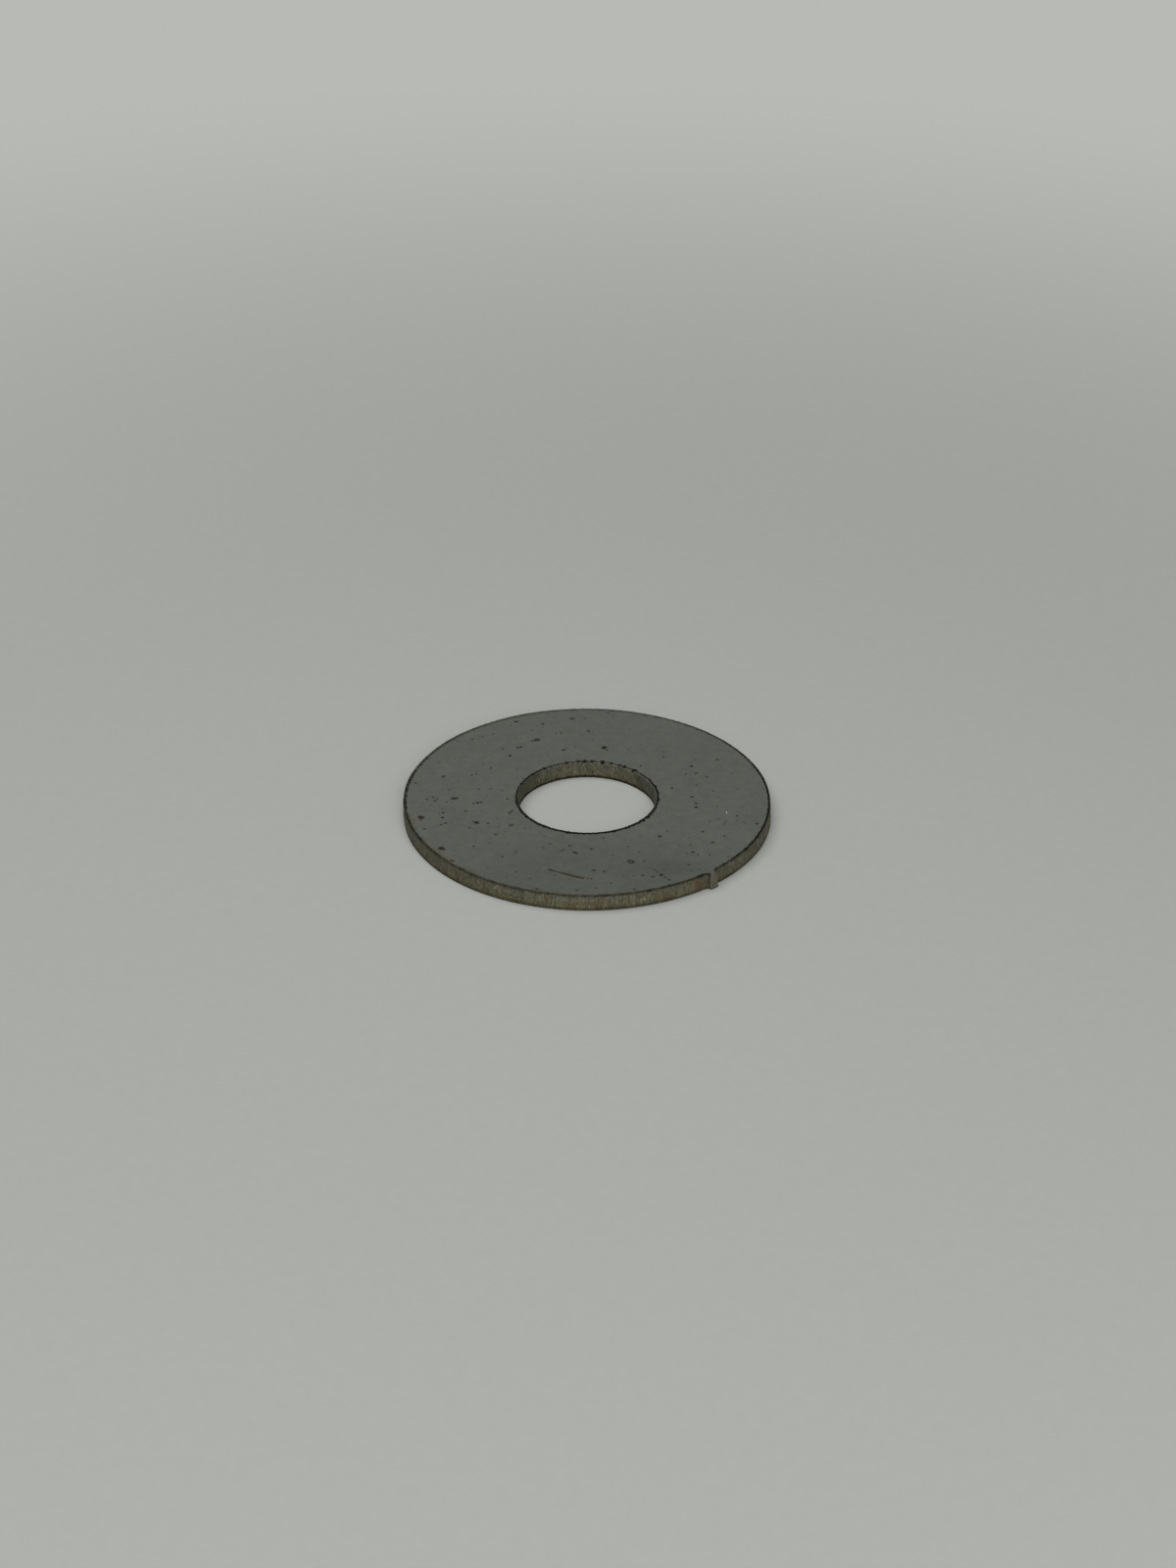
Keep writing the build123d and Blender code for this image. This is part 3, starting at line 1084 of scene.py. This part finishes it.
def rolled_face_group():
    """The rolled face of the sheet: a grey with slow clouds, fine grain and pin-prick specks."""
    n, given, result = group_tree(
        "Rolled face",
        (("Colour", COLOUR, grey(0.10)), ("Smudge colour", COLOUR, grey(0.08))),
        (("Colour", COLOUR), ("Roughness", VALUE), ("Height", VALUE)),
    )
    place = n.place()
    clouds = n.noise(place, 260.0, 3.0, 0.55)
    patches = n.noise(place, 1500.0, 3.0, 0.6)
    grain = n.noise(place, 7000.0, 3.0, 0.7)
    level = n.times(n.cloud(clouds, 0.96, 1.04), n.cloud(patches, 0.88, 1.12))
    level = n.times(level, n.cloud(grain, 0.90, 1.10))
    specks = n.fill(n.add("ShaderNodeTexVoronoi", feature="F1"), Vector=place, Scale=2600.0)
    chosen = n.fill(n.add("ShaderNodeSeparateColor"), Color=specks.outputs["Color"])
    reach = n.spread(chosen.outputs[0], 0.72, 1.0, 0.0, 0.22, "LINEAR")
    speck = n.spread(n.math("SUBTRACT", reach, specks.outputs["Distance"]), 0.0, 0.06)
    level = n.times(level, n.spread(speck, 0.0, 1.0, 1.0, 0.68, "LINEAR"))
    smudge = n.spread(n.oval(place, SMUDGE_MIDDLE, SMUDGE_REACH), 1.2, 0.4, 0.0, 0.8)
    smudge = n.times(smudge, n.spread(patches, 0.38, 0.62))
    # Painted shade: the face is darker towards its front, in a wide oval.
    dull = n.spread(n.oval(place, FRONT_SHADE_MIDDLE, FRONT_SHADE_REACH), 1.5, 0.5, 1.0, 0.86)
    tone = n.mix(smudge, given["Colour"], given["Smudge colour"])
    height = n.math("ADD", n.times(grain, 0.6), n.times(patches, 0.5))
    colour = n.scaled(tone, n.times(level, dull))
    n.fill(result, Colour=colour, Roughness=n.cloud(patches, 0.50, 0.60), Height=height)
    return n.tree


def oxide_crust_group():
    """Burnt oxide: nearly black, lumpy, with brown in places."""
    n, given, result = group_tree(
        "Oxide crust",
        (("Black", COLOUR, grey(0.02)), ("Brown", COLOUR, grey(0.04)), ("Brown share", VALUE, 0.3)),
        (("Colour", COLOUR), ("Height", VALUE)),
    )
    place = n.place()
    lumps = n.noise(place, 7000.0, 3.0, 0.6)
    drift = n.noise(place, 1500.0, 2.0, 0.5)
    drift = n.spread(drift, 0.35, 0.65, -0.25, 0.25, "LINEAR")
    share = n.math("ADD", given["Brown share"], drift, clamp=True)
    colour = n.mix(share, given["Black"], given["Brown"])
    n.fill(result, Colour=n.scaled(colour, n.cloud(lumps, 0.7, 1.35)), Height=lumps)
    return n.tree


def cut_wall_group():
    """A hot-cut wall: tan streaks that follow the drag lines, with dark grooves and rusty patches.

    The fine pattern is a cloud squeezed flat along the height and twisted about the bore's axis, so that
    its streaks run down the wall and trail behind towards the foot. The mesh's own drag lines add to it.
    The mesh's painted shade makes the wall darker at the washer's left and right, and it is darker too in
    a band close under the rim's lip.
    """
    n, given, result = group_tree(
        "Cut wall",
        (
            ("Top", COLOUR, grey(0.15)),
            ("Foot", COLOUR, grey(0.13)),
            ("Ridge", COLOUR, grey(0.26)),
            ("Groove", COLOUR, grey(0.07)),
            ("Rust", COLOUR, grey(0.10)),
            ("Thickness", VALUE, 1.5 * MM),
            ("Lag", VALUE, 0.01),
        ),
        (("Colour", COLOUR), ("Height", VALUE)),
    )
    place = n.place()
    parts = n.fill(n.add("ShaderNodeSeparateXYZ"), Vector=place)
    up = n.math("DIVIDE", parts.outputs[2], given["Thickness"], clamp=True)
    down = n.math("SUBTRACT", 1.0, up)
    angle = n.times(n.math("POWER", down, 2.0), given["Lag"])
    turned = n.fill(n.add("ShaderNodeVectorRotate", rotation_type="Z_AXIS"), Vector=place, Angle=angle)
    squeeze = n.fill(n.add("ShaderNodeMapping"), Vector=turned.outputs[0], Scale=(1.0, 1.0, 0.40))
    streaks = n.noise(squeeze.outputs[0], 6500.0, 3.0, 0.65)
    broad = n.noise(squeeze.outputs[0], 1500.0, 2.0, 0.5)
    blotch = n.noise(place, 3000.0, 4.0, 0.65)
    patch = n.noise(place, 1300.0, 2.0, 0.5)
    lined = n.math("ADD", n.times(n.stored("drag"), 0.042), streaks)
    upper = n.spread(n.math("ADD", up, n.cloud(blotch, -0.35, 0.35)), 0.25, 0.75)
    rusty = n.math("MAXIMUM", n.times(n.spread(patch, 0.55, 0.68), 0.5), n.stored("rust"))
    colour = n.mix(upper, given["Foot"], given["Top"])
    colour = n.mix(n.spread(lined, 0.51, 0.74), colour, given["Ridge"])
    colour = n.mix(n.spread(lined, 0.49, 0.28), colour, given["Groove"])
    colour = n.mix(rusty, colour, given["Rust"])
    level = n.times(n.cloud(broad, 0.85, 1.15), n.cloud(blotch, 0.76, 1.24))
    height = n.math("ADD", streaks, n.times(blotch, 0.6))
    # The wall's colour is darkened by the painted shade kept in the mesh.
    n.fill(result, Colour=n.scaled(colour, n.times(level, n.stored("painted_shade_and_lip_band"))), Height=height)
    return n.tree


def burnt_edge_group():
    """Where the cut burnt the steel, and where a painted shadow lies at the foot, from the mesh's distance
    along the section.

    Burn is 1 inside the dark strips, with ragged edges: the burnt lips and the strip at the foot, which is
    partly dross and partly painted contact shadow. Tint is 1 in patches of the face a little further in,
    most of all on the left of the rim.
    """
    n, _, result = group_tree("Burnt edge", (), (("Wall", VALUE), ("Burn", VALUE), ("Tint", VALUE)))
    edge = n.stored("edge")
    place = n.place()
    ragged = n.noise(place, 3300.0, 3.0, 0.6)
    slow = n.noise(place, 700.0, 2.0, 0.5)
    inside = n.math("ADD", n.stored("burn_and_shade"), n.cloud(ragged, -0.035, 0.035))
    snap = n.stored("snap")
    first = n.spread(snap, 0.0, 1.0, -0.03, -0.25, "LINEAR")
    full = n.spread(snap, 0.0, 1.0, -0.12, -0.60, "LINEAR")
    wall = n.times(n.spread(edge, first, full), n.spread(edge, -1.85, -1.7))
    tinted = n.spread(n.math("SUBTRACT", edge, n.cloud(ragged, 0.10, 0.55)), 0.1, -0.1)
    leftward = n.add("ShaderNodeVectorMath", operation="DOT_PRODUCT")
    n.put(leftward.inputs[0], place)
    n.put(leftward.inputs[1], TINT_SIDE)
    left = n.spread(leftward.outputs["Value"], TINT_FROM, TINT_TO, 0.0, 0.18)
    tint = n.times(tinted, n.spread(n.math("ADD", slow, left), 0.57, 0.70))
    n.fill(result, Wall=wall, Burn=n.spread(inside, -0.02, 0.04), Tint=tint)
    return n.tree


def place_group(n, name, maker, **values):
    """Places a shared node group, made at its first use, and sets its inputs."""
    tree = bpy.data.node_groups.get(name) or maker()
    return n.fill(n.add("ShaderNodeGroup", node_tree=tree), **values).outputs


def new_material(name):
    """A material with one Principled shader, and the helper for its nodes."""
    material = bpy.data.materials.new(name)
    material.use_nodes = True
    n = Nodes(material.node_tree)
    shader = material.node_tree.nodes["Principled BSDF"]
    return material, n, shader


def add_relief(n, shader, height, strength, distance):
    """Feeds a height into the shader's normal."""
    bump = n.fill(n.add("ShaderNodeBump"), Strength=strength, Distance=distance, Height=height)
    n.put(shader.inputs["Normal"], bump.outputs[0])


def rolled_face(n, finish):
    """The shared finish of the rolled faces."""
    smudge = rgba([0.70 * part for part in finish.face])
    return place_group(n, "Rolled face", rolled_face_group, Colour=rgba(finish.face), Smudge_colour=smudge)


def oxide_crust(n, finish, brown_share):
    """The shared finish of what the cut burnt."""
    return place_group(
        n, "Oxide crust", oxide_crust_group,
        Black=rgba(finish.oxide), Brown=rgba(finish.stain), Brown_share=brown_share,
    )


def washer_material(finish, ring, cut):
    """Grey rolled faces, tan cut walls and burnt lips, mixed by what the mesh says of each place."""
    material, n, shader = new_material("washer_steel")
    face = rolled_face(n, finish)
    wall = place_group(
        n, "Cut wall", cut_wall_group,
        Top=rgba(finish.wall_upper), Foot=rgba(finish.wall_lower), Ridge=rgba(finish.ridge),
        Groove=rgba(finish.groove), Rust=rgba(finish.rust), Thickness=ring.thickness,
        Lag=cut.drag_lag / ring.outer_radius,
    )
    char = n.stored("char")
    crust = oxide_crust(n, finish, n.spread(char, 0.5, 1.0, 0.8, -0.05))
    where = place_group(n, "Burnt edge", burnt_edge_group)
    snapped = n.stored("snap")
    # The burnt crust, whose strip at the foot is partly painted contact shadow.
    burn_and_shade = n.times(where["Burn"], n.times(char, n.spread(snapped, 0.0, 1.0, 1.0, 0.1)))
    # Painted shade in the nib's hollows is darkened like the burnt crust.
    burn_and_shade = n.math("MAXIMUM", burn_and_shade, n.stored("painted_nib_shade"))
    tinted = n.mix(n.times(where["Tint"], 0.8), face["Colour"], rgba(finish.tint))
    # Painted highlight: the smooth patch at the top of the bore's wall takes the pale bluish glaze colour.
    highlighted = n.mix(n.stored("glaze_and_highlight"), wall["Colour"], rgba(finish.glaze_and_highlight))
    torn = n.mix(n.spread(wall["Height"], 0.4, 1.0), rgba(finish.snapped_dark), rgba(finish.snapped))
    walls = n.mix(n.times(snapped, 0.85), highlighted, torn)
    colour = n.mix(where["Wall"], tinted, walls)
    bare = n.spread(where["Wall"], 0.0, 1.0, FACE_METAL, WALL_METAL)
    wall_rough = n.spread(n.stored("glaze_and_highlight"), 0.0, 1.0, 0.60, 0.50, "LINEAR")
    rough = n.mix(where["Wall"], face["Roughness"], wall_rough)
    n.fill(
        shader, Base_Color=n.mix(burn_and_shade, colour, crust["Colour"]), Metallic=n.math("MAXIMUM", bare, burn_and_shade),
        Roughness=n.mix(burn_and_shade, rough, grey(0.80)), Specular_IOR_Level=STEEL_SPECULAR,
    )
    height = n.mix(where["Wall"], face["Height"], wall["Height"])
    add_relief(n, shader, n.mix(burn_and_shade, height, crust["Height"]), 0.35, STEEL_RELIEF)
    return material


def marks_material(finish):
    """Black and brown spatter that fades into the rolled face at its edge."""
    material, n, shader = new_material("face_marks")
    face = rolled_face(n, finish)
    crust = oxide_crust(n, finish, n.stored("brown"))
    ragged = n.noise(n.place(), 9000.0, 2.0, 0.6)
    amount = n.spread(n.math("ADD", n.stored("amount"), n.cloud(ragged, -0.2, 0.2)), 0.05, 0.90)
    colour = n.mix(amount, face["Colour"], crust["Colour"])
    colour = n.mix(n.stored("pale"), colour, rgba(finish.bead))
    metal = n.spread(amount, 0.0, 1.0, FACE_METAL, 1.0, "LINEAR")
    rough = n.mix(amount, face["Roughness"], grey(0.65))
    n.fill(
        shader, Base_Color=colour, Metallic=metal, Roughness=rough, Specular_IOR_Level=STEEL_SPECULAR
    )
    add_relief(n, shader, n.mix(amount, face["Height"], crust["Height"]), 0.35, STEEL_RELIEF)
    return material


def sliver_material(finish):
    """A dark sliver, tan along its far side, whose melted end is paler still."""
    material, n, shader = new_material("sliver")
    crust = oxide_crust(n, finish, 0.6)
    colour = n.mix(n.times(n.stored("drop"), 0.6), crust["Colour"], rgba(finish.bead))
    n.fill(shader, Base_Color=colour, Metallic=0.9, Roughness=0.55)
    add_relief(n, shader, crust["Height"], 0.4, STEEL_RELIEF)
    return material


def bead_material():
    """Clean melted steel, scuffed by a fine grain."""
    material, n, shader = new_material("bright_beads")
    grain = n.noise(n.place(), 20000.0, 2.0, 0.6)
    colour = n.mix(grain, grey(0.55), grey(0.75))
    n.fill(shader, Base_Color=colour, Metallic=1.0, Roughness=n.cloud(grain, 0.18, 0.34))
    add_relief(n, shader, grain, 0.2, BEAD_RELIEF)
    return material


def blend_surface(n, output, share, first, second):
    """Feeds the surface of a tree's output with two shaders mixed by a share."""
    mixed = n.add("ShaderNodeMixShader")
    n.put(mixed.inputs[0], share)
    n.put(mixed.inputs[1], first.outputs[0])
    n.put(mixed.inputs[2], second.outputs[0])
    n.put(n.tree.nodes[output].inputs["Surface"], mixed.outputs[0])


def floor_material(stage):
    """Plain pale floor with a very faint tooth, which takes on the backdrop's tone far from the washer."""
    material, n, shader = new_material("floor")
    place = n.place()
    tooth = n.noise(place, 900.0, 4.0, 0.6)
    colour = n.scaled(tuple(stage.floor), n.cloud(tooth, 0.985, 1.015))
    n.fill(shader, Base_Color=colour, Roughness=0.9, Specular_IOR_Level=0.2)
    far = n.spread(n.far(place), FADE_FROM, FADE_TO)
    backdrop = n.fill(n.add("ShaderNodeEmission"), Color=rgba(stage.floor))
    blend_surface(n, "Material Output", n.times(n.seen(), far), shader, backdrop)
    return material


# Pieces


def add_piece(mesh, material):
    """Puts a finished mesh into the scene as a piece of the washer's one body."""
    mesh.materials.append(material)
    piece = bpy.data.objects.new(mesh.name, mesh)
    bpy.context.scene.collection.objects.link(piece)
    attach(piece, BODY)
    return piece


class WASHER_OT_ring(bpy.types.Operator):
    """Build the ring with its cut walls, lips and nib"""

    bl_idname = "washer.ring"
    bl_label = "Ring"

    def execute(self, context):
        scene = context.scene
        mesh = ring_mesh(scene.washer_ring, scene.washer_nib, scene.washer_cut)
        material = washer_material(scene.washer_finish, scene.washer_ring, scene.washer_cut)
        piece = add_piece(mesh, material)
        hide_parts(NODE)
        return {"FINISHED"}


class WASHER_OT_marks(bpy.types.Operator):
    """Build the spatter and stains on both faces"""

    bl_idname = "washer.marks"
    bl_label = "Spatter and stains"

    def execute(self, context):
        scene = context.scene
        add_piece(marks_mesh(scene.washer_ring, scene.washer_marks), marks_material(scene.washer_finish))
        add_piece(beads_mesh(scene.washer_ring), bead_material())
        return {"FINISHED"}


class WASHER_OT_sliver(bpy.types.Operator):
    """Build the stray sliver with its melted nodule"""

    bl_idname = "washer.sliver"
    bl_label = "Sliver"

    def execute(self, context):
        scene = context.scene
        add_piece(sliver_mesh(scene.washer_ring), sliver_material(scene.washer_finish))
        return {"FINISHED"}


# The floor's half width and depth, and the distances between which it takes on the backdrop's tone.
FLOOR_HALF = 3.0
FLOOR_DEPTH = -0.01 * MM
FADE_FROM = 50.0 * MM
FADE_TO = 220.0 * MM
# Lamps, as the width of the square and its place.
SOFT_LAMP = (0.40, (-0.11, 0.02, 0.40))
FILL_LAMP = (0.30, (0.08, -0.33, 0.27))
# The point that the camera faces, and its roll.
CAMERA_AIM = (0.10 * MM, 4.73 * MM, 0.0)
CAMERA_ROLL = math.radians(0.31)


def add_floor(stage):
    """A wide level floor just under the washer."""
    turn = (np.arange(4) * 0.5 - 0.75) * np.pi
    corners = level_row(turn, FLOOR_HALF * math.sqrt(2.0), FLOOR_DEPTH)
    mesh = new_mesh("floor", corners, [np.array([[0, 1, 2, 3]])])
    mesh.materials.append(floor_material(stage))
    floor = bpy.data.objects.new("floor", mesh)
    bpy.context.scene.collection.objects.link(floor)


def add_lamp(name, power, width, position):
    """A soft square lamp that faces the washer."""
    light = bpy.data.lights.new(name, "AREA")
    light.shape = "SQUARE"
    light.size = width
    light.energy = power
    lamp = bpy.data.objects.new(name, light)
    lamp.location = position
    lamp.rotation_euler = Vector(position).to_track_quat("Z", "Y").to_euler()
    bpy.context.scene.collection.objects.link(lamp)


def add_world(stage):
    """An even pale sky, seen and mirrored in the floor's own tone."""
    world = bpy.data.worlds.new("sky")
    world.use_nodes = True
    n = Nodes(world.node_tree)
    sky = n.fill(world.node_tree.nodes["Background"], Color=grey(1.0), Strength=stage.sky_strength)
    seen = n.fill(n.add("ShaderNodeBackground"), Color=rgba(stage.floor))
    blend_surface(n, "World Output", n.seen(), sky, seen)
    bpy.context.scene.world = world


def add_camera(stage):
    """A camera in front, at the set distance and elevation, aimed a little behind the washer's origin."""
    elevation = stage.camera_elevation
    spot = Vector((0.0, -math.cos(elevation), math.sin(elevation))) * stage.camera_distance
    data = bpy.data.cameras.new("camera")
    data.lens = stage.camera_lens
    data.sensor_width = 36.0
    data.clip_start = 0.01
    camera = bpy.data.objects.new("camera", data)
    camera.location = spot
    facing = (spot - Vector(CAMERA_AIM)).to_track_quat("Z", "Y")
    camera.rotation_mode = "QUATERNION"
    camera.rotation_quaternion = facing @ Matrix.Rotation(CAMERA_ROLL, 3, "Z").to_quaternion()
    bpy.context.scene.collection.objects.link(camera)
    bpy.context.scene.camera = camera


class WASHER_OT_stage(bpy.types.Operator):
    """Build the floor, the light and the camera"""

    bl_idname = "washer.stage"
    bl_label = "Floor, light and camera"

    def execute(self, context):
        stage = context.scene.washer_stage
        add_floor(stage)
        add_world(stage)
        add_lamp("soft_lamp", stage.lamp_power, *SOFT_LAMP)
        add_lamp("fill_lamp", stage.fill_power, *FILL_LAMP)
        add_camera(stage)
        context.scene.view_settings.view_transform = "Standard"
        return {"FINISHED"}


class WASHER_PT_panel(bpy.types.Panel):
    """Lists the settings and the builders of the washer"""

    bl_idname = "WASHER_PT_panel"
    bl_label = "Fender washer"
    bl_space_type = "VIEW_3D"
    bl_region_type = "UI"
    bl_category = "Washer"

    def draw(self, context):
        layout = self.layout
        for name, group in SETTINGS.items():
            box = layout.box()
            for prop in group.__annotations__:
                box.prop(getattr(context.scene, name), prop)
        for operator in OPERATORS:
            layout.operator(operator.bl_idname)


OPERATORS = (WASHER_OT_ring, WASHER_OT_marks, WASHER_OT_sliver, WASHER_OT_stage)
CLASSES = (*SETTINGS.values(), *OPERATORS, WASHER_PT_panel)


def register():
    """Registers the classes and hangs the settings on the scene."""
    for item in CLASSES:
        bpy.utils.register_class(item)
    for name, group in SETTINGS.items():
        setattr(bpy.types.Scene, name, bpy.props.PointerProperty(type=group))


def unregister():
    """Takes away what register added."""
    for name in SETTINGS:
        delattr(bpy.types.Scene, name)
    for item in reversed(CLASSES):
        bpy.utils.unregister_class(item)


def main():
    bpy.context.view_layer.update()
    register()
    bpy.ops.washer.ring()
    bpy.ops.washer.marks()
    bpy.ops.washer.sliver()
    bpy.ops.washer.stage()


if __name__ == "__main__":
    main()
